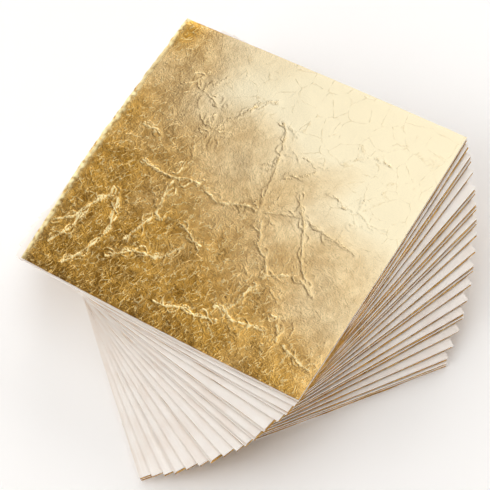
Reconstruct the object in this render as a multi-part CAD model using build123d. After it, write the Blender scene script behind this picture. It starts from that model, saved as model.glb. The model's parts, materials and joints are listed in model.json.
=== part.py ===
from build123d import *
import math
import os

# A stack of loose gold leaves and the tissues between them, twisted into a spiral fan.
# The origin is where the fan's axis meets the table. Z points up, through the stack.
# The lowest sheet lies square to X and Y. The layers above it are turned anticlockwise about Z.

# One tissue, with its four sides bowed out a little
sheet_length = 85.0
sheet_width = 80.0
edge_bow = 0.35

# Where the fan's axis passes through every sheet, from its left side and from its back side
axis_from_left = 29.0
axis_from_back = 27.9

# A layer is a tissue and the leaf that clings below it, each as thick as it lies when cockled
tissue_thickness = 0.45
leaf_thickness = 0.30
layer_gap = 0.17
leaf_inset = 0.4

# The turn between the lowest and the top sheet, and how much of it lies above each layer
fan_turn_deg = 39.6
turn_above_shares = (
    0.0, 0.029, 0.074, 0.086, 0.139,
    0.22, 0.231, 0.285, 0.297, 0.343,
    0.356, 0.407, 0.485, 0.554, 0.566,
    0.632, 0.709, 0.771, 0.784, 0.846,
    0.921, 0.983, 1.0, 1.0, 1.0,
)

# The exposed leaf lies a little askew, so its tissue shows along the left part of the back side
exposed_leaf_inset = 0.5
askew_inset = 1.3
askew_reach = 38.0

# Its long soft folds wander, and shorter crinkles slant across them
seat_clearance = 0.08
fold_height = 0.55
fold_spacing = 38.0
fold_wander = 6.0
crinkle_height = 0.22
crinkle_spacing = 17.0
crinkle_slant_share = 0.45
surface_steps = 26

layer_count = len(turn_above_shares)
layer_pitch = leaf_thickness + layer_gap + tissue_thickness
left = -axis_from_left
right = sheet_width - axis_from_left
back = axis_from_back
front = axis_from_back - sheet_length


def flat_sheet(inset, thickness):
    """A flat sheet on Z 0 whose four sides bow out a little between its corners."""
    west = left + inset
    east = right - inset
    south = front + inset
    north = back - inset
    middle_x = (west + east) / 2
    middle_y = (south + north) / 2
    with BuildPart() as piece:
        with BuildSketch():
            with BuildLine():
                ThreePointArc((west, south), (middle_x, south - edge_bow), (east, south))
                ThreePointArc((east, south), (east + edge_bow, middle_y), (east, north))
                ThreePointArc((east, north), (middle_x, north + edge_bow), (west, north))
                ThreePointArc((west, north), (west - edge_bow, middle_y), (west, south))
            make_face()
        extrude(amount=thickness)
    return piece.part


def wave(along, spacing):
    """A smooth wave between 0 and 1 that comes back after each spacing."""
    return (1 + math.sin(math.tau * along / spacing)) / 2


def leaf_lift(x, y):
    """How high the exposed leaf's underside stands above its tissue at one place."""
    wander = fold_wander * math.sin(math.tau * y / sheet_length)
    fold = fold_height * wave(x + wander, fold_spacing)
    crinkle = crinkle_height * wave(y + crinkle_slant_share * x, crinkle_spacing)
    return seat_clearance + fold + crinkle


def exposed_leaf_point(across_share, along_share):
    """A point of the exposed leaf's underside, by its share of the leaf's width and length."""
    bow_across = edge_bow * 4 * along_share * (1 - along_share)
    bow_along = edge_bow * 4 * across_share * (1 - across_share)
    askew_share = max(0, 1 - sheet_width * across_share / askew_reach)
    west = left + exposed_leaf_inset - bow_across
    east = right - exposed_leaf_inset + bow_across
    south = front + exposed_leaf_inset - bow_along
    north = back - exposed_leaf_inset + bow_along - askew_inset * askew_share
    x = west + (east - west) * across_share
    y = south + (north - south) * along_share
    return (x, y, leaf_lift(x, y))


def exposed_leaf():
    """The crinkled top leaf, one curved sheet of even thickness."""
    shares = [step / surface_steps for step in range(surface_steps + 1)]
    rows = [[exposed_leaf_point(across, along) for across in shares] for along in shares]
    underside = Face.make_surface_from_array_of_points(rows)
    return extrude(underside, amount=leaf_thickness, dir=(0, 0, 1))


def placed(piece, layer, height):
    """Turn a piece with its layer about the fan's axis and lift it to its height."""
    turn = fan_turn_deg * (1 - turn_above_shares[layer])
    return Pos(0, 0, height) * Rot(0, 0, turn) * piece


def write(piece, name):
    """Keep one piece under its own name."""
    export_step(piece, f"parts/{name}.step")


os.makedirs("parts", exist_ok=True)
tissue = flat_sheet(0, tissue_thickness)
clinging_leaf = flat_sheet(leaf_inset, leaf_thickness)
for layer in range(layer_count):
    tissue_bottom = layer_pitch * (layer_count - 1 - layer)
    write(placed(tissue, layer, tissue_bottom), f"tissue_{layer + 1:02d}")
    if layer < layer_count - 1:
        leaf_bottom = tissue_bottom - leaf_thickness
        write(placed(clinging_leaf, layer, leaf_bottom), f"gold_leaf_{layer + 2:02d}")
top_of_stack = layer_pitch * (layer_count - 1) + tissue_thickness
write(placed(exposed_leaf(), 0, top_of_stack), "gold_leaf_01")
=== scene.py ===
"""A booklet of imitation gold leaf, taken apart into a spiral fan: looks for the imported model.

Twenty-five tissues lie in a stack, turned a little more from each to the next. A gold leaf clings
below every tissue but the lowest, and one more leaf lies open on top, crinkled and a little askew.
"""

import json
import logging
import math
import random
from dataclasses import dataclass, field
from enum import Enum

import bmesh
import bpy
from bmesh.types import BMesh, BMFace, BMVert
from bpy.types import Material, NodeSocket as Socket, NodeTree as Tree, Object
from mathutils import Matrix, Vector, kdtree, noise

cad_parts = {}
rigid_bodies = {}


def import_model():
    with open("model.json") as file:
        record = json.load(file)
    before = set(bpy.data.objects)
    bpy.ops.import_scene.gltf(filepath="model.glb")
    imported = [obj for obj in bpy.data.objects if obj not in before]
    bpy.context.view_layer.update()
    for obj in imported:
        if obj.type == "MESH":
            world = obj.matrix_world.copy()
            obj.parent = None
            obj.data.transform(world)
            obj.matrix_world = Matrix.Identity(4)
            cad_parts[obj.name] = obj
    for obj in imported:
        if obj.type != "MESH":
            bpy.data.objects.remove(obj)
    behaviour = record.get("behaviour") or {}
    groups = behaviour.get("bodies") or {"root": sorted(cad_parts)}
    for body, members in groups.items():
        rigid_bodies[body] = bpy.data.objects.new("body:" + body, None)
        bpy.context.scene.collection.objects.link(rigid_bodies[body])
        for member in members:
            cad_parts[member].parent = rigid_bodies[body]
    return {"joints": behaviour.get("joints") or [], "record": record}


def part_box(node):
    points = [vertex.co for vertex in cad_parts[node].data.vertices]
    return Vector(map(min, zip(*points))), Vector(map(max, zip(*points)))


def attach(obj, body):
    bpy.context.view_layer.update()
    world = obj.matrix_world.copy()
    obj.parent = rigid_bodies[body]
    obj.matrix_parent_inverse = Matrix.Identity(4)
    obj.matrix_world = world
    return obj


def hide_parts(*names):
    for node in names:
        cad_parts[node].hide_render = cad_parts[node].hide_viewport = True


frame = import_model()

Pair = tuple[float, float]
Triple = tuple[float, float, float]

MM = 0.001
IMAGE_SIDE = 490

# The open leaf's main creases, read off the photograph, as points in millimetres from its left
# and back sides.
CREASES_MM = (
    ((35.9, 25.7), (32.3, 25.0), (28.6, 25.6), (26.4, 26.2), (25.8, 28.2), (27.9, 29.2)),
    ((38.6, 31.3), (37.4, 35.0), (36.2, 38.6), (37.2, 41.0), (39.0, 45.9), (38.4, 49.6)),
    ((38.5, 49.9), (43.0, 48.2), (48.6, 47.2), (55.6, 45.5), (61.9, 42.8), (64.6, 40.7)),
    ((38.9, 50.4), (40.8, 55.1), (42.3, 60.4), (41.1, 65.9), (39.8, 73.3), (39.0, 78.2)),
    ((37.7, 51.2), (33.2, 53.3), (31.0, 53.5), (28.0, 58.4), (25.0, 60.0), (22.5, 59.7)),
    ((22.5, 59.7), (19.8, 58.9), (14.0, 57.9), (11.3, 57.1), (9.1, 57.1)),
    ((22.5, 59.7), (24.4, 60.4), (27.5, 67.1), (26.7, 70.1), (24.0, 75.0)),
    ((45.4, 57.2), (40.6, 61.8), (37.1, 63.3), (31.7, 66.2), (27.2, 70.4), (24.1, 74.6)),
    ((27.4, 32.2), (25.7, 36.8), (24.3, 39.2), (23.6, 42.7)),
    ((6.1, 38.2), (5.9, 42.1), (8.0, 47.7), (7.2, 50.6), (8.9, 57.5)),
    ((15.9, 31.5), (16.5, 34.2), (19.8, 36.5), (22.4, 38.6)),
    ((47.2, 6.9), (47.4, 12.2), (46.1, 14.8)),
    ((38.1, 12.9), (37.2, 20.7), (37.4, 24.9), (38.9, 30.1), (37.9, 32.4)),
    ((37.4, 24.9), (33.6, 24.6)),
    ((43.6, 24.2), (39.2, 24.7), (37.7, 24.7)),
    ((60.7, 9.9), (64.9, 13.9), (69.5, 15.6)),
    ((61.4, 16.9), (65.9, 17.4), (67.1, 18.5)),
    ((62.3, 19.7), (59.7, 23.7)),
    ((57.2, 21.4), (53.3, 25.7)),
    ((62.5, 23.9), (60.6, 26.2)),
    ((53.0, 25.9), (56.9, 27.0), (59.4, 29.4), (63.2, 31.1), (67.2, 34.4), (69.0, 37.5)),
    ((52.7, 26.0), (53.0, 23.8), (52.5, 21.1)),
    ((48.6, 23.7), (45.5, 24.9)),
    ((55.4, 45.8), (50.7, 46.1), (49.5, 42.2)),
    ((55.6, 45.5), (56.9, 51.9), (56.2, 57.9), (61.8, 62.9), (65.0, 68.0), (64.0, 74.8)),
    ((64.4, 63.4), (66.5, 63.8)),
    ((49.1, 49.2), (52.2, 54.4), (55.3, 57.2)),
    ((51.4, 61.2), (50.0, 67.5), (49.0, 71.0)),
    ((54.4, 71.0), (49.8, 71.7), (47.8, 75.8), (48.3, 82.0)),
    ((46.0, 70.3), (45.6, 73.0), (47.8, 75.8)),
    ((48.4, 55.1), (43.1, 59.1)),
    ((64.6, 40.6), (62.1, 45.3), (62.5, 48.0)),
    ((11.9, 1.8), (16.7, 7.5), (22.0, 9.7), (26.3, 12.4), (29.3, 11.3)),
    ((18.9, 8.6), (13.6, 8.7), (9.3, 6.3), (6.2, 4.9)),
    ((26.8, 14.4), (22.5, 15.8), (17.3, 17.8), (11.7, 16.3), (6.2, 13.8), (3.0, 11.4)),
    ((26.3, 26.0), (20.5, 24.2), (15.5, 22.6)),
    ((11.2, 19.8), (12.5, 23.7), (15.2, 26.6), (16.1, 34.1)),
    ((11.2, 52.6), (11.8, 56.9), (10.3, 59.7), (11.1, 63.9), (12.1, 69.6)),
    ((17.9, 68.8), (16.0, 71.7)),
    ((10.7, 73.3), (8.4, 79.8), (7.2, 84.5)),
    ((15.1, 69.2), (12.3, 71.6), (9.4, 72.7)),
    ((16.4, 66.3), (15.9, 68.6), (17.4, 70.4)),
)

# Where creases meet in a star, and how many short threads run out from there.
STARS_MM = (
    ((38.2, 50.1), 16),
    ((22.4, 59.6), 11),
    ((13.3, 57.8), 10),
    ((9.2, 57.3), 9),
    ((53.0, 25.9), 18),
    ((62.7, 17.3), 14),
    ((37.6, 24.8), 10),
    ((19.2, 8.1), 6),
    ((26.7, 14.7), 7),
    ((11.3, 73.0), 9),
)

RGBA = {"data_type": "RGBA"}

log = logging.getLogger("gold_leaf_booklet")


def linear(hex_colour: str) -> tuple[float, float, float, float]:
    """Turns an sRGB hex colour into linear light.

    Args:
        hex_colour: six hex digits after a number sign.

    Returns:
        Red, green and blue in linear light, and an alpha of one.
    """
    parts = [int(hex_colour[i:i + 2], 16) / 255 for i in (1, 3, 5)]
    light = [c / 12.92 if c <= 0.04045 else ((c + 0.055) / 1.055) ** 2.4 for c in parts]
    return light[0], light[1], light[2], 1.0


def per_metre(size_mm: float) -> float:
    """The texture scale that gives a pattern features of size_mm, on coordinates in metres."""
    return 1.0 / (size_mm * MM)


def noise_at(place: Vector, size: float, layer: Triple) -> float:
    """Smooth noise from about -1 to 1, with features of the given size, in a layer of its own."""
    return noise.noise(place / size + Vector(layer))


def stray_at(place: Vector, size: float, layer: float, reach: float) -> Vector:
    """A smooth sideways stray of up to about reach, with features of the given size."""
    aside = noise.noise_vector(place / size + Vector((0, 0, layer)))
    return Vector((aside.x, aside.y, 0.0)) * reach


def add_object(name: str, data: bpy.types.ID) -> Object:
    """Puts mesh, light or camera data into the scene as an object of the given name."""
    made = bpy.data.objects.new(name, data)
    bpy.context.scene.collection.objects.link(made)
    return made


def add_mesh(name: str, bm: BMesh) -> Object:
    """Puts a finished mesh into the scene as an object of the given name."""
    mesh = bpy.data.meshes.new(name)
    bm.to_mesh(mesh)
    bm.free()
    return add_object(name, mesh)


def empty_tree(owner: bpy.types.ID) -> Tree:
    """Gives a material or a world a node tree, and empties it."""
    owner.use_nodes = True
    owner.node_tree.nodes.clear()
    return owner.node_tree


def add_node(tree: Tree, kind: str, settings: dict | None = None, values: dict | None = None,
             links: dict | None = None) -> bpy.types.Node:
    """Adds one node with its settings, socket values and incoming links.

    Args:
        tree: the node tree that gets the node.
        kind: the node's type name.
        settings: the node's own properties by name.
        values: constants for input sockets, by name or number.
        links: sockets that feed the input sockets, by name or number.

    Returns:
        The new node.
    """
    node = tree.nodes.new(kind)
    for name, value in (settings or {}).items():
        setattr(node, name, value)
    for name, value in (values or {}).items():
        node.inputs[name].default_value = value
    for name, source in (links or {}).items():
        tree.links.new(source, node.inputs[name])
    return node


class Slot(Enum):
    """The record's material slots."""

    GOLD_LEAF = "gold_leaf"
    TISSUE = "tissue"


@dataclass(frozen=True)
class TissueFinish:
    """Bible tissue: thin rag paper, machine made, uncoated and dusted with whiting.

    To the eye it is a warm, dead matt white. Its fibres lie along the sheet as faint streaks,
    and its cloudy formation makes the tone drift a little from place to place. Real fibres are
    about 0.02 mm wide, too fine to show: streaks and tooth are drawn as coarse as they need to be.
    """

    name: str = "bible_tissue_uncoated"
    sheet_colour: str = "#FAF6F1"
    cloud_colour: str = "#F4ECE4"
    streak_colour: str = "#FCF9F5"
    roughness: float = 0.86
    cloud_mm: float = 9.0
    fibre_width_mm: float = 0.45
    fibre_length_mm: float = 14.0
    tooth_mm: float = 0.35
    tooth_depth_mm: float = 0.012
    tooth_strength: float = 0.6
    cloud_span: Pair = (0.42, 0.68)
    streak_span: Pair = (0.5, 0.75)
    streak_share: float = 0.6
    ior: float = 1.45
    specular: float = 0.25

    def build(self) -> Material:
        """Makes the material.

        Returns:
            The finished material.
        """
        material = bpy.data.materials.new(self.name)
        tree = empty_tree(material)
        place = add_node(tree, "ShaderNodeUVMap", {"uv_map": "sheet"}).outputs["UV"]
        cloud = add_node(tree, "ShaderNodeTexNoise", None,
                         {"Scale": per_metre(self.cloud_mm), "Detail": 3.0, "Roughness": 0.55},
                         {"Vector": place})
        scale = (per_metre(self.fibre_width_mm), per_metre(self.fibre_length_mm), 1.0)
        stretched = add_node(tree, "ShaderNodeMapping", None, {"Scale": scale}, {"Vector": place})
        fibre = add_node(tree, "ShaderNodeTexNoise", None,
                         {"Scale": 1.0, "Detail": 2.0, "Roughness": 0.6},
                         {"Vector": stretched.outputs["Vector"]})
        cloudy = add_node(tree, "ShaderNodeMapRange", None,
                          {"From Min": self.cloud_span[0], "From Max": self.cloud_span[1]},
                          {"Value": cloud.outputs["Fac"]})
        tone = add_node(tree, "ShaderNodeMix", RGBA,
                        {6: linear(self.sheet_colour), 7: linear(self.cloud_colour)},
                        {0: cloudy.outputs["Result"]})
        streaky = add_node(tree, "ShaderNodeMapRange", None,
                           {"From Min": self.streak_span[0], "From Max": self.streak_span[1],
                            "To Max": self.streak_share},
                           {"Value": fibre.outputs["Fac"]})
        colour = add_node(tree, "ShaderNodeMix", RGBA,
                          {7: linear(self.streak_colour)},
                          {0: streaky.outputs["Result"], 6: tone.outputs[2]})
        tooth = add_node(tree, "ShaderNodeTexNoise", None,
                         {"Scale": per_metre(self.tooth_mm), "Detail": 2.0},
                         {"Vector": place})
        bump = add_node(tree, "ShaderNodeBump", None,
                        {"Strength": self.tooth_strength, "Distance": self.tooth_depth_mm * MM},
                        {"Height": tooth.outputs["Fac"]})
        shader = add_node(tree, "ShaderNodeBsdfPrincipled", None,
                          {"Roughness": self.roughness, "IOR": self.ior,
                           "Specular IOR Level": self.specular},
                          {"Base Color": colour.outputs[2], "Normal": bump.outputs["Normal"]})
        add_node(tree, "ShaderNodeOutputMaterial", None, None, {"Surface": shader.outputs["BSDF"]})
        return material


@dataclass(frozen=True)
class GoldLeafFinish:
    """Imitation gold leaf: a brass alloy beaten to foil, laid down by hand and never burnished.

    To the eye it is a bright warm metal. Its colour is painted from a pale champagne gold where it
    lies smooth to a deeper old gold where it is crinkled. This is partly the foil's own tone and
    partly painted light: a painted highlight at the pale end, and at the deep end painted shade for
    the light that strikes the metal twice or more in the crinkles. Random patches in the crinkles
    are painted darker still, as painted shade in the hollows. The threads are painted pale among
    the dark crinkles, as painted highlights, and as fine tan hairlines where the foil is smooth, as
    painted shade.
    Grain and hairlines are far finer in life, and are drawn as coarse as they need to be to show.
    """

    name: str = "imitation_gold_leaf_beaten"
    smooth_and_highlight_colour: str = "#FBEECB"
    crinkled_and_shade_colour: str = "#E6B355"
    hollow_shade_colour: str = "#A97A2C"
    thread_highlight_colour: str = "#FFF2BE"
    thread_shade_colour: str = "#E2C184"
    roughness_smooth: float = 0.20
    roughness_crinkled: float = 0.16
    roughness_thread: float = 0.44
    deep_from: float = 0.82
    hollow_shade_mm: float = 3.6
    hollow_shade_share: float = 0.85
    warp_mm: float = 2.6
    warp_reach_mm: float = 1.2
    jag_mm: float = 0.7
    jag_reach_mm: float = 0.35
    net_mm: float = 5.5
    net_line_mm: float = 0.18
    net_share: float = 0.24
    tangle_mm: float = 0.95
    tangle_line_mm: float = 0.11
    tangle_share: float = 0.48
    tangle_stretch: float = 2.6
    tangle_heading_deg: float = 15.0
    gate_mm: float = 1.7
    thread_depth_mm: float = 0.04
    grain_mm: float = 0.32
    grain_stretch: float = 1.7
    grain_heading_deg: float = -50.4
    grain_depth_mm: float = 0.065
    least_grain: float = 0.24
    hollow_shade_span: Pair = (0.38, 0.62)
    tangle_span: Pair = (0.05, 0.60)
    tangle_gate_span: Pair = (0.40, 0.56)
    least_tangle: float = 0.15
    net_gate_span: Pair = (0.42, 0.60)

    def drawn_out(self, tree: Tree, place: Socket, heading_deg: float,
                  stretch: float) -> Socket:
        """Draws a pattern out along a heading.

        Args:
            tree: the finish's node tree.
            place: the coordinates.
            heading_deg: the way along which the pattern grows longer.
            stretch: how many times as long it gets.

        Returns:
            The coordinates for the longer pattern.
        """
        return add_node(tree, "ShaderNodeMapping", {"vector_type": "TEXTURE"},
                        {"Rotation": (0.0, 0.0, math.radians(heading_deg)),
                         "Scale": (stretch, 1.0, 1.0)},
                        {"Vector": place}).outputs["Vector"]

    def lines(self, tree: Tree, place: Socket, gate: Socket,
              cell_mm: float, line_mm: float, share: float) -> Socket:
        """Draws thin lines round cells, broken up where the gate is shut.

        Args:
            tree: the finish's node tree.
            place: the coordinates.
            gate: 1 where a line may run, 0 where it may not.
            cell_mm: how wide the cells are.
            line_mm: how far the line reaches from a cell's side.
            share: how strong the lines are.

        Returns:
            The lines' strength.
        """
        cells = add_node(tree, "ShaderNodeTexVoronoi", {"feature": "DISTANCE_TO_EDGE"},
                         {"Scale": per_metre(cell_mm)}, {"Vector": place})
        line = add_node(tree, "ShaderNodeMapRange", None,
                        {"From Max": line_mm / cell_mm, "To Min": share, "To Max": 0.0},
                        {"Value": cells.outputs["Distance"]})
        return add_node(tree, "ShaderNodeMath", {"operation": "MULTIPLY"}, None,
                        {0: line.outputs["Result"], 1: gate}).outputs[0]

    def threads(self, tree: Tree, place: Socket, crinkle: Socket) -> Socket:
        """Joins the creases' crests, the wide net of hairlines and the tangle of the crinkled part.

        Args:
            tree: the finish's node tree.
            place: the bent coordinates.
            crinkle: how strongly the leaf is crinkled.

        Returns:
            How far a place is a thread, from 0 to 1.
        """
        crest = add_node(tree, "ShaderNodeAttribute", {"attribute_name": "crest"}).outputs["Fac"]
        crinkled = add_node(tree, "ShaderNodeMapRange", None,
                            {"From Min": self.tangle_span[0], "From Max": self.tangle_span[1]},
                            {"Value": crinkle}).outputs["Result"]
        drift = add_node(tree, "ShaderNodeTexNoise", None,
                         {"Scale": per_metre(self.gate_mm), "Detail": 2.0},
                         {"Vector": place}).outputs["Fac"]
        net_gate = add_node(tree, "ShaderNodeMapRange", None,
                            {"From Min": self.net_gate_span[0], "From Max": self.net_gate_span[1]},
                            {"Value": drift}).outputs["Result"]
        calm = add_node(tree, "ShaderNodeMapRange", None,
                        {"From Min": self.tangle_gate_span[0], "From Max": self.tangle_gate_span[1],
                         "To Min": 1.0, "To Max": self.least_tangle},
                        {"Value": drift}).outputs["Result"]
        tangle_gate = add_node(tree, "ShaderNodeMath", {"operation": "MULTIPLY"}, None,
                               {0: calm, 1: crinkled}).outputs[0]
        thread = self.lines(tree, place, net_gate, self.net_mm, self.net_line_mm, self.net_share)
        longer = self.drawn_out(tree, place, self.tangle_heading_deg, self.tangle_stretch)
        tangle = self.lines(tree, longer, tangle_gate, self.tangle_mm, self.tangle_line_mm,
                            self.tangle_share)
        for other in (tangle, crest):
            thread = add_node(tree, "ShaderNodeMath", {"operation": "MAXIMUM"}, None,
                              {0: thread, 1: other}).outputs[0]
        return thread

    def colour(self, tree: Tree, place: Socket, crinkle: Socket, thread: Socket) -> Socket:
        """Mixes painted highlight and shade into the metal's colour: pale to deep gold, hollows,
        threads.

        Args:
            tree: the finish's node tree.
            place: the bent coordinates.
            crinkle: how strongly the leaf is crinkled.
            thread: how far a place is a thread.

        Returns:
            The colour.
        """
        # Painted highlight and shade: pale gold where the leaf is smooth, deep gold where it is
        # crinkled.
        deep = add_node(tree, "ShaderNodeMapRange", None, {"From Max": self.deep_from},
                        {"Value": crinkle}).outputs["Result"]
        metal = add_node(tree, "ShaderNodeMix", RGBA,
                         {6: linear(self.smooth_and_highlight_colour), 7: linear(self.crinkled_and_shade_colour)},
                         {0: deep}).outputs[2]
        # Painted shade: random patches in the crinkles are darkened toward the hollow shade colour.
        patch = add_node(tree, "ShaderNodeTexNoise", None,
                         {"Scale": per_metre(self.hollow_shade_mm), "Detail": 4.0, "Roughness": 0.62},
                         {"Vector": place})
        shade_patch = add_node(tree, "ShaderNodeMapRange", None,
                          {"From Min": self.hollow_shade_span[0], "From Max": self.hollow_shade_span[1],
                           "To Max": self.hollow_shade_share},
                          {"Value": patch.outputs["Fac"]}).outputs["Result"]
        hollow_shade_mask = add_node(tree, "ShaderNodeMath", {"operation": "MULTIPLY"}, None,
                        {0: shade_patch, 1: crinkle})
        metal = add_node(tree, "ShaderNodeMix", RGBA,
                         {7: linear(self.hollow_shade_colour)}, {0: hollow_shade_mask.outputs[0], 6: metal}).outputs[2]
        # Painted highlight and shade: threads pale among the deep gold, tan among the pale gold.
        thread_light_and_shade = add_node(tree, "ShaderNodeMix", RGBA,
                         {6: linear(self.thread_shade_colour), 7: linear(self.thread_highlight_colour)},
                         {0: deep}).outputs[2]
        return add_node(tree, "ShaderNodeMix", RGBA, None,
                        {0: thread, 6: metal, 7: thread_light_and_shade}).outputs[2]

    def build(self) -> Material:
        """Makes the material.

        Returns:
            The finished material.
        """
        material = bpy.data.materials.new(self.name)
        tree = empty_tree(material)
        place = add_node(tree, "ShaderNodeTexCoord").outputs["Object"]
        crinkle = add_node(tree, "ShaderNodeAttribute",
                           {"attribute_name": "crinkle"}).outputs["Fac"]
        for size_mm, reach_mm in ((self.warp_mm, self.warp_reach_mm),
                                  (self.jag_mm, self.jag_reach_mm)):
            warp = add_node(tree, "ShaderNodeTexNoise", None,
                            {"Scale": per_metre(size_mm), "Detail": 2.0}, {"Vector": place})
            place = add_node(tree, "ShaderNodeVectorMath", {"operation": "MULTIPLY_ADD"},
                             {1: (reach_mm * MM,) * 3},
                             {0: warp.outputs["Color"], 2: place}).outputs["Vector"]
        longer = self.drawn_out(tree, place, self.grain_heading_deg, self.grain_stretch)
        grain = add_node(tree, "ShaderNodeTexNoise", None,
                         {"Scale": per_metre(self.grain_mm), "Detail": 2.0, "Roughness": 0.6},
                         {"Vector": longer})
        thread = self.threads(tree, place, crinkle)
        amount = add_node(tree, "ShaderNodeMapRange", None,
                          {"From Max": self.deep_from, "To Min": self.least_grain},
                          {"Value": crinkle})
        bump_fine = add_node(tree, "ShaderNodeBump", None,
                             {"Distance": self.grain_depth_mm * MM},
                             {"Height": grain.outputs["Fac"], "Strength": amount.outputs["Result"]})
        bump = add_node(tree, "ShaderNodeBump", None,
                        {"Strength": 1.0, "Distance": self.thread_depth_mm * MM},
                        {"Height": thread, "Normal": bump_fine.outputs["Normal"]})
        rough = add_node(tree, "ShaderNodeMapRange", None,
                         {"To Min": self.roughness_smooth, "To Max": self.roughness_crinkled},
                         {"Value": crinkle})
        rough = add_node(tree, "ShaderNodeMix", {"data_type": "FLOAT"}, {3: self.roughness_thread},
                         {0: thread, 2: rough.outputs["Result"]})
        shader = add_node(tree, "ShaderNodeBsdfPrincipled", None, {"Metallic": 1.0},
                          {"Base Color": self.colour(tree, place, crinkle, thread),
                           "Roughness": rough.outputs[0], "Normal": bump.outputs["Normal"]})
        add_node(tree, "ShaderNodeOutputMaterial", None, None, {"Surface": shader.outputs["BSDF"]})
        return material


@dataclass(frozen=True)
class SheetSize:
    """The cut of every sheet, and where the fan's axis passes through it, in metres."""

    length: float = 85.0 * MM
    width: float = 80.0 * MM
    edge_bow: float = 0.35 * MM
    axis_from_left: float = 29.0 * MM
    axis_from_back: float = 27.9 * MM

    def point(self, across: float, along: float, inset: float) -> Vector:
        """A place on the sheet, before it is turned.

        Args:
            across: share of the way from the left side to the right one.
            along: share of the way from the back side to the front one.
            inset: how far the outline lies inside the cut.

        Returns:
            The place, with no height.
        """
        bow = self.edge_bow * 4  # a share times its rest is a quarter at most
        x = inset + across * (self.width - 2 * inset) - self.axis_from_left
        y = self.axis_from_back - inset - along * (self.length - 2 * inset)
        x += bow * (2 * across - 1) * along * (1 - along)
        y += bow * (1 - 2 * along) * across * (1 - across)
        return Vector((x, y, 0.0))


@dataclass
class ThinSheet:
    """A thin sheet in its place in the fan, with a wavy surface and a wall of its own."""

    node: str
    body: str
    turn_deg: float
    low: float
    high: float
    number: int
    cut: SheetSize = field(default_factory=SheetSize)
    steps_across: int = 56
    steps_along: int = 60
    wall: float = 0.34 * MM
    sharp_deg: float = 50.0
    seed_step: float = 7.3
    slot: Slot = Slot.TISSUE

    def seed(self) -> float:
        """A place in the noise that no other sheet uses."""
        return self.seed_step * self.number

    def settled(self, depth: float, bend: float) -> float:
        """How high the upper surface lies when the sheet waves by depth about its middle."""
        return (self.low + self.high + self.wall) / 2 + depth * max(-1.0, min(1.0, bend))

    def outline(self, across: float, along: float) -> Vector:
        """Where a grid point lies in the plane of the sheet."""
        return self.cut.point(across, along, 0.0)

    def lift(self, across: float, along: float, place: Vector) -> float:
        """How high the upper surface lies at a grid point."""
        return self.high

    def crinkled(self, place: Vector) -> float:
        """How strongly the sheet is crinkled at a place, which the leaf's finish reads."""
        return 0.0

    def crested(self, place: Vector) -> float:
        """How far a place is the crest of a crease, which the leaf's finish reads."""
        return 0.0

    def lay_grid(self, bm: BMesh, coarser: int) -> list[BMFace]:
        """Lays out one side of the sheet as a grid.

        Args:
            bm: the mesh that gets it.
            coarser: how many times as wide its steps are.

        Returns:
            The grid's faces.
        """
        known = set(bm.faces)
        half = 0.5
        made = bmesh.ops.create_grid(bm, x_segments=self.steps_across // coarser,
                                     y_segments=self.steps_along // coarser, size=half)
        crinkle, crest = bm.verts.layers.float["crinkle"], bm.verts.layers.float["crest"]
        for vert in made["verts"]:
            across, along = vert.co.x + half, half - vert.co.y
            place = self.outline(across, along)
            vert[crinkle], vert[crest] = self.crinkled(place), self.crested(place)
            vert.co = (place.x, place.y, self.lift(across, along, place))
        return [face for face in bm.faces if face not in known]

    def add_underside(self, bm: BMesh, upper: list[BMFace]) -> None:
        """Gives the laid grid its wall, as a closed shell."""
        grown = bmesh.ops.extrude_face_region(bm, geom=upper)["geom"]
        wall_verts = [g for g in grown if isinstance(g, BMVert)]
        bmesh.ops.translate(bm, verts=wall_verts, vec=(0.0, 0.0, -self.wall))

    def shape(self) -> Object:
        """Builds the sheet from a grid that is laid out, lifted, given its wall and turned.

        Returns:
            The piece, linked to the scene.
        """
        bm = bmesh.new()
        uv = bm.loops.layers.uv.new("sheet")
        bm.verts.layers.float.new("crinkle")
        bm.verts.layers.float.new("crest")
        self.add_underside(bm, self.lay_grid(bm, 1))
        for face in bm.faces:
            for loop in face.loops:
                loop[uv].uv = (loop.vert.co.x + self.number, loop.vert.co.y)
            face.smooth = True
        bmesh.ops.recalc_face_normals(bm, faces=bm.faces)
        for edge in bm.edges:
            if edge.calc_face_angle(0.0) > math.radians(self.sharp_deg):
                edge.smooth = False
        bmesh.ops.rotate(bm, verts=bm.verts, cent=(0, 0, 0),
                         matrix=Matrix.Rotation(math.radians(self.turn_deg), 3, "Z"))
        return add_mesh(self.node + "_sheet", bm)

    def dress(self, material: Material) -> Object:
        """Builds the sheet, gives it its finish and ties it to the frame.

        Args:
            material: the sheet's finish.

        Returns:
            The finished piece.
        """
        piece = self.shape()
        piece.data.materials.append(material)
        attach(piece, self.body)
        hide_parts(self.node)
        log.info("%s on %s, turned %.1f degrees, %d faces", piece.name, self.body, self.turn_deg,
                 len(piece.data.polygons))
        return piece


@dataclass
class Tissue(ThinSheet):
    """One tissue of the booklet, a little cockled, with clean cut sides that wander a trifle."""

    cockle: float = 0.05 * MM
    cockle_spacing: float = 24.0 * MM
    cockle_share: float = 1.2
    ripple_spacing: float = 9.6 * MM
    ripple_share: float = 0.5
    side_wander: float = 0.12 * MM
    side_spacing: float = 19.0 * MM

    def outline(self, across: float, along: float) -> Vector:
        """Where a grid point lies, with the sides a trifle uneven."""
        place = self.cut.point(across, along, 0.0)
        return place + stray_at(place, self.side_spacing, self.seed(), self.side_wander)

    def lift(self, across: float, along: float, place: Vector) -> float:
        """How high the tissue lies, waving within the space that it has."""
        wave = self.cockle_share * noise_at(place, self.cockle_spacing, (0, 0, self.seed()))
        ripple = self.ripple_share * noise_at(place, self.ripple_spacing, (3, 0, self.seed()))
        return self.settled(self.cockle, wave + ripple)


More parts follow.
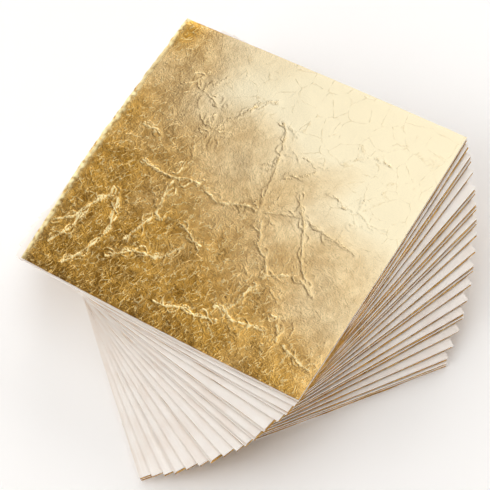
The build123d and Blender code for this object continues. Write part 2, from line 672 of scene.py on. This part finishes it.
@dataclass
class ClingingLeaf(ThinSheet):
    """A gold leaf that clings below its tissue, and shows only as a ragged bright edge."""

    wall: float = 0.10 * MM
    slot: Slot = Slot.GOLD_LEAF
    inset: float = 0.25 * MM
    shift: Pair = (-0.20 * MM, -0.42 * MM)
    rag: float = 0.16 * MM
    rag_spacing: float = 6.0 * MM
    crumple: float = 0.08 * MM
    wave_spacing: float = 11.0 * MM
    wave_share: float = 0.9
    crease_spacing: float = 3.2 * MM
    crease_share: float = 0.8
    all_over: float = 0.8

    def outline(self, across: float, along: float) -> Vector:
        """Where a grid point lies, with ragged sides."""
        place = self.cut.point(across, along, self.inset) + Vector((*self.shift, 0.0))
        return place + stray_at(place, self.rag_spacing, self.seed(), self.rag)

    def lift(self, across: float, along: float, place: Vector) -> float:
        """How high the leaf lies, crumpled within the space that it has."""
        wave = self.wave_share * noise_at(place, self.wave_spacing, (0, 5, self.seed()))
        crease = self.crease_share * noise_at(place, self.crease_spacing, (0, 9, self.seed()))
        return self.settled(self.crumple, wave + crease)

    def crinkled(self, place: Vector) -> float:
        """A clinging leaf is crinkled all over, so its finish paints it deep gold, as painted
        shade.
        """
        return self.all_over


@dataclass(frozen=True)
class Pinch:
    """One short stretch of a crease: how high it stands, and how wide its flanks are."""

    place: Vector
    height: float
    flank: float


@dataclass
class CreaseNet:
    """The pinched creases of the open leaf: main lines in bundles, stars, and loose threads."""

    cut: SheetSize
    step: float = 0.08 * MM
    main_height: float = 0.11 * MM
    main_flank: float = 0.34 * MM
    main_spread: float = 0.3 * MM
    least_main: float = 0.4
    strand_height: float = 0.09 * MM
    strand_flank: float = 0.31 * MM
    strand_spread: float = 0.9 * MM
    strands: int = 4
    thread_height: float = 0.055 * MM
    thread_flank: float = 0.28 * MM
    threads: int = 1600
    thread_lengths_mm: Pair = (1.6, 5.5)
    thread_step_mm: float = 1.1
    thread_turn: float = 0.35
    thread_jitter: float = 0.45
    least_thread: float = 0.35
    least_kept: float = 0.12
    star_starts_mm: Pair = (0.2, 1.6)
    star_lengths_mm: Pair = (2.5, 8.0)
    star_height_share: float = 1.35
    ray_jitter: float = 0.3
    sway_spacing: float = 4.2 * MM
    jag_spacing: float = 0.9 * MM
    jag_reach: float = 0.30 * MM
    fade_reach: float = 1.2 * MM
    swell_spacing: float = 2.8 * MM
    swell_middle: float = 0.78
    swell_share: float = 0.55
    least_rise: float = 0.1
    flank_power: float = 1.3
    reach: float = 0.35 * MM
    most_crinkle: float = 1.45
    crinkle_fall: float = 2.0
    fall_across: float = 0.62
    fall_along: float = 0.38
    drift_spacing: float = 15.0 * MM
    drift_share: float = 0.25
    corner_share: float = 0.8
    corner_reach: float = 13.0 * MM
    pinches: list[Pinch] = field(default_factory=list)
    tree: kdtree.KDTree | None = None

    def on_sheet(self, point_mm: Pair) -> Vector:
        """A point given in millimetres from the left and back sides, in the sheet's own place."""
        return Vector((point_mm[0] * MM - self.cut.axis_from_left,
                       self.cut.axis_from_back - point_mm[1] * MM, 0.0))

    def crinkle(self, place: Vector) -> float:
        """How strongly the leaf is crinkled at a place.

        It is most crinkled at its left back corner, less and less toward the right front one, and
        again a little more close to the right back one. The finish paints the gold deeper where it
        is more crinkled, as painted shade, and paler where it is less, as a painted highlight.
        """
        across = (place.x + self.cut.axis_from_left) / self.cut.width
        along = (self.cut.axis_from_back - place.y) / self.cut.length
        drift = noise_at(place, self.drift_spacing, (2, 2, 70))
        corner = math.hypot((1.0 - across) * self.cut.width, along * self.cut.length)
        share = (self.most_crinkle
                 - self.crinkle_fall * (self.fall_across * across + self.fall_along * along)
                 + self.drift_share * drift
                 + self.corner_share * math.exp(-(corner / self.corner_reach) ** 2))
        return max(0.0, min(1.0, share))

    def walk(self, line: list[Vector], height: float, flank: float, spread: float,
             seed: float) -> None:
        """Lays pinches along a line that wanders, and that fades in and out if it is a side strand.

        Args:
            line: the corners of the line.
            height: how high it stands.
            flank: how wide each flank is.
            spread: how far aside it may stray.
            seed: which wander it follows.
        """
        done = 0.0
        total = sum((b - a).length for a, b in zip(line, line[1:]))
        for start, end in zip(line, line[1:]):
            span = (end - start).length
            side = Vector((start.y - end.y, end.x - start.x, 0.0)).normalized()
            for i in range(int(span / self.step) + 1):
                far = done + i * self.step
                here = start.lerp(end, min(1.0, i * self.step / span))
                sway = noise.noise(Vector((far / self.sway_spacing, seed, 1.0))) * spread
                jag = noise.noise(Vector((far / self.jag_spacing, seed, 5.0))) * self.jag_reach
                fade = min(1.0, far / self.fade_reach, (total - far) / self.fade_reach)
                swell = noise.noise(Vector((far / self.swell_spacing, seed, 9.0)))
                swell = self.swell_middle + self.swell_share * swell
                stands = height * max(0.0, fade) * swell
                if stands > self.least_rise * height:
                    self.pinches.append(Pinch(here + side * (sway + jag), stands, flank))
            done += span

    def lay_main_lines(self) -> None:
        """Lays the main creases, each with its side strands."""
        for number, points in enumerate(CREASES_MM):
            line = [self.on_sheet(p) for p in points]
            crinkle = self.crinkle(line[0].lerp(line[-1], 0.5))
            share = self.least_main + (1.0 - self.least_main) * crinkle
            self.walk(line, self.main_height * share, self.main_flank, self.main_spread, number)
            for strand in range(self.strands):  # each follows a wander of its own
                self.walk(line, self.strand_height * share, self.strand_flank,
                          self.strand_spread * (1 + strand), 100 + 7 * number + strand)

    def lay_thread(self, start: Vector, heading: float, length: float, height: float,
                   chance: random.Random) -> None:
        """Lays one short thread that bends as it goes."""
        line = [start]
        turn = chance.uniform(-self.thread_turn, self.thread_turn)
        for _ in range(max(2, int(length / (self.thread_step_mm * MM)))):
            heading += turn + chance.uniform(-self.thread_jitter, self.thread_jitter)
            out = Vector((math.cos(heading), math.sin(heading), 0.0))
            line.append(line[-1] + out * self.thread_step_mm * MM)
        self.walk(line, height, self.thread_flank, 0.0, chance.uniform(0, 900))

    def lay_threads(self) -> None:
        """Lays threads out from every star, and loose ones where the leaf is crinkled."""
        chance = random.Random(9)
        for centre_mm, count in STARS_MM:
            centre = self.on_sheet(centre_mm)
            for ray in range(count):
                aside = chance.uniform(-self.ray_jitter, self.ray_jitter)
                heading = math.tau * (ray + aside) / count
                out = Vector((math.cos(heading), math.sin(heading), 0.0))
                out = out * chance.uniform(*self.star_starts_mm) * MM
                self.lay_thread(centre + out, heading, chance.uniform(*self.star_lengths_mm) * MM,
                                self.thread_height * self.star_height_share, chance)
        for _ in range(self.threads):
            across, along = chance.random(), chance.random()
            start = self.cut.point(across, along, 0.0)
            share = self.crinkle(start)
            keep, heading = chance.random(), chance.uniform(0, math.tau)
            length = chance.uniform(*self.thread_lengths_mm) * MM
            if keep < self.least_kept + share:
                rise = self.least_thread + (1.0 - self.least_thread) * share
                self.lay_thread(start, heading, length, self.thread_height * rise, chance)

    def build(self) -> "CreaseNet":
        """Lays every crease and sorts the pinches for quick search.

        Returns:
            The net itself.
        """
        self.lay_main_lines()
        self.lay_threads()
        self.tree = kdtree.KDTree(len(self.pinches))
        for number, pinch in enumerate(self.pinches):
            self.tree.insert(pinch.place, number)
        self.tree.balance()
        return self

    def drawn_in(self, place: Vector, within: float) -> Vector:
        """The place, moved onto a bundled crease that runs close by, so that it stays sharp."""
        at, number, distance = self.tree.find(place)
        if distance < within and self.pinches[number].flank > self.thread_flank:
            return Vector((at.x, at.y, place.z))
        return place

    def height(self, place: Vector) -> float:
        """How high the creases stand at a place."""
        tallest = 0.0
        for _, number, distance in self.tree.find_range(place, self.reach):
            pinch = self.pinches[number]
            rise = pinch.height * max(0.0, 1.0 - distance / pinch.flank) ** self.flank_power
            tallest = max(tallest, rise)
        return tallest


@dataclass
class ExposedLeaf(ThinSheet):
    """The open leaf on top: soft folds, weak facets, pinched creases, threads, and curled rims."""

    steps_across: int = 282
    steps_along: int = 300
    coarser_below: int = 3
    wall: float = 0.06 * MM
    slot: Slot = Slot.GOLD_LEAF
    inset: float = -0.02 * MM
    left_inset: float = 0.26 * MM
    rag: float = 0.06 * MM
    back_rag: float = 0.20 * MM
    rag_spacing: float = 1.9 * MM
    askew_inset: float = 1.9 * MM
    askew_reach: float = 34.0 * MM
    clearance: float = 0.06 * MM
    fold_height: float = 0.14 * MM
    fold_spacing: float = 30.0 * MM
    swell_height: float = 0.05 * MM
    swell_spacing: float = 11.0 * MM
    least_folds: float = 0.3
    facet_wander: float = 5.0 * MM
    facet_wander_spacing: float = 14.0 * MM
    ripple_height: float = 0.014 * MM
    ripple_spacing: float = 0.9 * MM
    ripple_middle: float = 0.7
    back_loft: float = 0.28 * MM
    back_loft_reach: float = 11.0 * MM
    back_rim: float = 1.8 * MM
    left_rim: float = 3.0 * MM
    other_rim: float = 2.0 * MM
    rim_height_share: float = 0.55
    undrawn_cells: float = 2.5
    drawn_within: float = 0.13 * MM
    full_crest: float = 0.066 * MM
    crest_spread: Pair = (0.85, 0.5)
    crest_gain: float = 2.2
    frayed_back: float = 1.2 * MM
    frayed_spacing: float = 1.1 * MM
    frayed_middle: float = 0.75
    creased: bool = True
    net: CreaseNet = field(init=False)
    facets: tuple[Triple, ...] = (
        (20.0, 13.0 * MM, 0.07 * MM), (75.0, 10.5 * MM, 0.055 * MM), (128.0, 16.0 * MM, 0.07 * MM),
        (160.0, 7.0 * MM, 0.03 * MM))

    def __post_init__(self) -> None:
        """Lays the crease net for this leaf."""
        self.net = CreaseNet(self.cut).build()

    def add_underside(self, bm: BMesh, upper: list[BMFace]) -> None:
        """Lays a coarser grid without the creases below the first, and joins their rims."""
        self.creased = False
        lower = self.lay_grid(bm, self.coarser_below)
        verts = {vert for face in lower for vert in face.verts}
        bmesh.ops.translate(bm, verts=list(verts), vec=(0.0, 0.0, -self.wall))
        bmesh.ops.bridge_loops(bm, edges=[edge for edge in bm.edges if edge.is_boundary])
        self.creased = True

    def outline(self, across: float, along: float) -> Vector:
        """Where a grid point lies: a little askew, with jagged sides, drawn onto the creases."""
        place = self.cut.point(across, along, self.inset)
        askew = max(0.0, 1.0 - self.cut.width * across / self.askew_reach)
        place.x += self.left_inset * (1.0 - across)
        place.y -= self.askew_inset * askew * (1.0 - along)
        ragged = self.rag + self.back_rag * max(0.0, 1.0 - along * self.cut.length / self.back_rim)
        place += stray_at(place, self.rag_spacing, 50, ragged)
        inside = min(across, 1 - across, along, 1 - along) > self.undrawn_cells / self.steps_across
        return self.net.drawn_in(place, self.drawn_within) if inside and self.creased else place

    def facet(self, place: Vector) -> float:
        """Flat facets that meet in straight faint folds, as foil has once it was crumpled."""
        moved = place + stray_at(place, self.facet_wander_spacing, 81, self.facet_wander)
        total = 0.0
        for heading_deg, pitch, height in self.facets:
            heading = math.radians(heading_deg)
            run = (moved.x * math.cos(heading) + moved.y * math.sin(heading)) / pitch
            total += height * abs(2 * (run - math.floor(run + 0.5)))
        return total

    def rim(self, across: float, along: float) -> float:
        """How far the leaf has risen from its curled rim: 0 on the side, 1 away from it."""
        gone = 1.0
        for distance, width in ((along * self.cut.length, self.back_rim),
                                (across * self.cut.width, self.left_rim),
                                ((1 - along) * self.cut.length, self.other_rim),
                                ((1 - across) * self.cut.width, self.other_rim)):
            gone *= math.sin(math.pi / 2 * min(1.0, distance / width))
        return gone

    def lift(self, across: float, along: float, place: Vector) -> float:
        """How high the leaf's upper surface lies."""
        fold = 0.5 + 0.5 * noise_at(place, self.fold_spacing, (0, 0, 11))
        swell = 0.5 + 0.5 * noise_at(place, self.swell_spacing, (0, 0, 13))
        share = self.net.crinkle(place)
        height = fold * self.fold_height + swell * self.swell_height + self.facet(place)
        height *= self.least_folds + (1.0 - self.least_folds) * share
        from_back = along * self.cut.length
        height += self.back_loft * max(0.0, 1.0 - from_back / self.back_loft_reach) ** 2
        if self.creased:
            ripple = self.ripple_middle + noise_at(place, self.ripple_spacing, (0, 0, 43))
            height += self.net.height(place) + ripple * self.ripple_height * share
        risen = self.rim_height_share + (1.0 - self.rim_height_share) * self.rim(across, along)
        return self.low + self.clearance + self.wall + height * risen

    def crinkled(self, place: Vector) -> float:
        """How strongly the leaf is crinkled at a place."""
        return self.net.crinkle(place)

    def crested(self, place: Vector) -> float:
        """How far a place is the crest of a crease, or frayed as the leaf's back side is."""
        if not self.creased:
            return 0.0
        from_left = place.x + self.cut.axis_from_left
        askew = self.askew_inset * max(0.0, 1.0 - from_left / self.askew_reach)
        from_back = max(0.0, self.cut.axis_from_back - place.y - askew)
        # Crests and this frayed band along the back take the thread colours: painted highlights
        # where the gold is deep, painted shade where it is pale.
        frayed = self.frayed_middle + noise_at(place, self.frayed_spacing, (0, 0, 0))
        frayed *= math.exp(-(from_back / self.frayed_back) ** 2)
        least, more = self.crest_spread
        whole = self.full_crest * (least + more * self.net.crinkle(place))
        crest = 1.0 + self.crest_gain * (self.net.height(place) / whole - 1.0)
        return max(0.0, min(1.0, max(crest, frayed)))


@dataclass
class Fan:
    """The whole stack, from the exposed leaf down to the lowest tissue."""

    tissue_finish: TissueFinish = field(default_factory=TissueFinish)
    leaf_finish: GoldLeafFinish = field(default_factory=GoldLeafFinish)
    noise_seed: int = 5

    def turns(self) -> dict[str, float]:
        """How far each body is turned at rest, which is how far its joint can be turned back."""
        joints = frame["joints"]
        rest = {j["child"]: -j["range_deg"][0] for j in joints if "range_deg" in j}
        for joint in joints:
            if "range_m" in joint:
                rest[joint["child"]] = rest[joint["parent"]]
        return rest

    def build(self) -> list[Object]:
        """Builds and dresses every sheet.

        Returns:
            The pieces, in the order of the bodies.
        """
        noise.seed_set(self.noise_seed)  # or else the clock seeds noise_vector
        turns = self.turns()
        tissue = self.tissue_finish.build()
        leaf = self.leaf_finish.build()
        pieces = []
        for body, nodes in frame["record"]["behaviour"]["bodies"].items():
            for node in nodes:
                low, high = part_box(node)
                number = int(node.rsplit("_", 1)[1])
                facts = {"node": node, "body": body, "turn_deg": turns.get(body, 0.0),
                         "low": low.z, "high": high.z, "number": number}
                if node.startswith(Slot.TISSUE.value):
                    pieces.append(Tissue(**facts).dress(tissue))
                elif number == 1:
                    pieces.append(ExposedLeaf(**facts).dress(leaf))
                else:
                    pieces.append(ClingingLeaf(**facts).dress(leaf))
        return pieces


@dataclass(frozen=True)
class Softbox:
    """A rectangular white studio light that faces the booklet, given by where it hangs in its sky.

    The azimuth runs clockwise from straight behind the booklet. The spans are the angles that the
    light covers, seen from the booklet, and the radiance is how bright its face is against white.
    """

    name: str
    elevation_deg: float
    azimuth_deg: float
    across_deg: float
    upright_deg: float
    radiance: float
    distance: float = 2.0

    def build(self) -> Object:
        """Hangs the light, with the power that gives its face the wanted brightness.

        Returns:
            The light's object.
        """
        up, round_ = math.radians(self.elevation_deg), math.radians(self.azimuth_deg)
        level = math.cos(up)
        away = Vector((math.sin(round_) * level, math.cos(round_) * level, math.sin(up)))
        width, depth = (2 * self.distance * math.tan(math.radians(span) / 2)
                        for span in (self.across_deg, self.upright_deg))
        lamp = bpy.data.lights.new(self.name, "AREA")
        lamp.shape = "RECTANGLE"
        lamp.size, lamp.size_y = width, depth
        lamp.energy = self.radiance * math.pi * width * depth
        holder = add_object(self.name, lamp)
        holder.location = away * self.distance
        holder.rotation_mode = "QUATERNION"
        holder.rotation_quaternion = away.to_track_quat("Z", "Y")
        return holder


@dataclass(frozen=True)
class RoomZone:
    """A round white panel of the room, brighter than the rest, with a soft rim."""

    toward: Triple
    inner_deg: float
    outer_deg: float
    colour: Triple


@dataclass
class Studio:
    """A white table in a warm dim room with two white panels, softboxes all round, and the camera.

    The right part of the open leaf mirrors the large panel, and its left part the dim room beside
    it, so the leaf runs from deep gold at the left to pale gold at the right; its finish paints
    the same run in as well, as painted highlight and shade. The small panel lights the leaf's back
    side, and the softboxes the threads, which are painted pale and tan as highlights and shade.
    """

    floor_side: float = 12.0
    floor_colour: str = "#FBFBFB"
    floor_glow: float = 0.02
    room_colour: Triple = (0.12, 0.09, 0.06)
    horizon_colour: Triple = (0.95, 0.95, 0.95)
    horizon_span: Pair = (0.06, 0.16)
    zones: tuple[RoomZone, ...] = (
        RoomZone((0.1985, 0.491, 0.848), 12.5, 18.5, (1.07, 1.07, 1.07)),
        RoomZone((-0.31, 0.67, 0.67), 5.0, 9.0, (1.10, 1.10, 1.07)),
    )
    softboxes: tuple[Softbox, ...] = (
        Softbox("ceiling_softbox", 83.0, 165.0, 70.0, 40.0, 1.27),
        Softbox("right_panel", 24.0, 95.0, 46.0, 22.0, 0.8),
        Softbox("back_right_softbox", 27.0, 42.0, 52.0, 30.0, 2.4),
        Softbox("back_softbox", 25.0, 2.0, 44.0, 26.0, 1.6),
        Softbox("left_softbox", 37.0, 272.0, 52.0, 32.0, 2.75),
        Softbox("back_left_softbox", 24.0, 328.0, 24.0, 18.0, 2.4),
        Softbox("front_strip", 8.0, 180.0, 45.0, 16.0, 3.4),
    )
    camera_place: Triple = (20.09 * MM, -240.72 * MM, 395.31 * MM)
    camera_azimuth_deg: float = 1.28
    camera_elevation_deg: float = 59.11
    camera_roll_deg: float = 21.75
    focal_length_px: float = 1770.0
    sensor_mm: float = 36.0
    near_clip: float = 10.0 * MM

    def floor(self) -> Object:
        """Lays the white table.

        Returns:
            The table's object.
        """
        bm = bmesh.new()
        bmesh.ops.create_grid(bm, x_segments=1, y_segments=1, size=self.floor_side / 2)
        table = add_mesh("floor", bm)
        material = bpy.data.materials.new("white_table")
        tree = empty_tree(material)
        paint = add_node(tree, "ShaderNodeBsdfDiffuse", None, {"Color": linear(self.floor_colour)})
        path = add_node(tree, "ShaderNodeLightPath")
        seen = path.outputs["Is Camera Ray"]
        for ray in ("Is Glossy Ray", "Is Transmission Ray"):
            seen = add_node(tree, "ShaderNodeMath", {"operation": "MAXIMUM"}, None,
                            {0: seen, 1: path.outputs[ray]}).outputs[0]
        glow = add_node(tree, "ShaderNodeMath", {"operation": "MULTIPLY"}, {1: self.floor_glow},
                        {0: seen})
        lit = add_node(tree, "ShaderNodeEmission", None, {"Color": (1.0, 1.0, 1.0, 1.0)},
                       {"Strength": glow.outputs[0]})
        both = add_node(tree, "ShaderNodeAddShader", None, None,
                        {0: paint.outputs["BSDF"], 1: lit.outputs["Emission"]})
        add_node(tree, "ShaderNodeOutputMaterial", None, None, {"Surface": both.outputs["Shader"]})
        table.data.materials.append(material)
        return table

    def room(self) -> None:
        """Lights the room: warm and dim, white at the horizon, with its white panels."""
        world = bpy.data.worlds.new("room")
        tree = empty_tree(world)
        toward = add_node(tree, "ShaderNodeTexCoord").outputs["Generated"]
        parts = add_node(tree, "ShaderNodeSeparateXYZ", None, None, {"Vector": toward})
        height = add_node(tree, "ShaderNodeMapRange", {"interpolation_type": "SMOOTHSTEP"},
                          {"From Min": self.horizon_span[0], "From Max": self.horizon_span[1]},
                          {"Value": parts.outputs["Z"]})
        colour = add_node(tree, "ShaderNodeMix", RGBA,
                          {6: (*self.horizon_colour, 1.0), 7: (*self.room_colour, 1.0)},
                          {0: height.outputs["Result"]}).outputs[2]
        for zone in self.zones:
            near = add_node(tree, "ShaderNodeVectorMath", {"operation": "DOT_PRODUCT"},
                            {1: Vector(zone.toward).normalized()}, {0: toward})
            inside = add_node(tree, "ShaderNodeMapRange", {"interpolation_type": "SMOOTHSTEP"},
                              {"From Min": math.cos(math.radians(zone.outer_deg)),
                               "From Max": math.cos(math.radians(zone.inner_deg))},
                              {"Value": near.outputs["Value"]})
            colour = add_node(tree, "ShaderNodeMix", RGBA, {7: (*zone.colour, 1.0)},
                              {0: inside.outputs["Result"], 6: colour}).outputs[2]
        light = add_node(tree, "ShaderNodeBackground", None, {"Strength": 1.0}, {"Color": colour})
        add_node(tree, "ShaderNodeOutputWorld", None, None,
                 {"Surface": light.outputs["Background"]})
        bpy.context.scene.world = world

    def camera(self) -> Object:
        """Sets up the camera as the photograph was taken, rolled to the left.

        Returns:
            The camera's object.
        """
        azimuth, elevation, roll = (math.radians(a) for a in (
            self.camera_azimuth_deg, self.camera_elevation_deg, self.camera_roll_deg))
        ahead = math.cos(elevation)
        look = Vector((-math.sin(azimuth) * ahead, math.cos(azimuth) * ahead, -math.sin(elevation)))
        level = Vector((math.cos(azimuth), math.sin(azimuth), 0.0))
        right = level * math.cos(roll) + look.cross(level) * math.sin(roll)
        down = look.cross(right)
        turn = Matrix((right, -down, -look)).transposed().to_4x4()
        lens = bpy.data.cameras.new("camera")
        lens.sensor_width = self.sensor_mm
        lens.lens = self.focal_length_px * self.sensor_mm / IMAGE_SIDE
        lens.clip_start = self.near_clip
        camera = add_object("camera", lens)
        camera.matrix_world = Matrix.Translation(self.camera_place) @ turn
        bpy.context.scene.camera = camera
        return camera

    def build(self) -> None:
        """Builds the floor, the room's light, the softboxes and the camera."""
        self.camera()
        self.floor()
        self.room()
        for softbox in self.softboxes:
            softbox.build()
        bpy.context.scene.view_settings.view_transform = "Standard"
        log.info("studio with %d softboxes", len(self.softboxes))


def main() -> None:
    """Builds the studio and the booklet, and logs how many pieces there are."""
    logging.basicConfig(level=logging.INFO, format="%(name)s: %(message)s")
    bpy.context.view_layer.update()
    Studio().build()
    pieces = Fan().build()
    log.info("%d pieces", len(pieces))


if __name__ == "__main__":
    main()
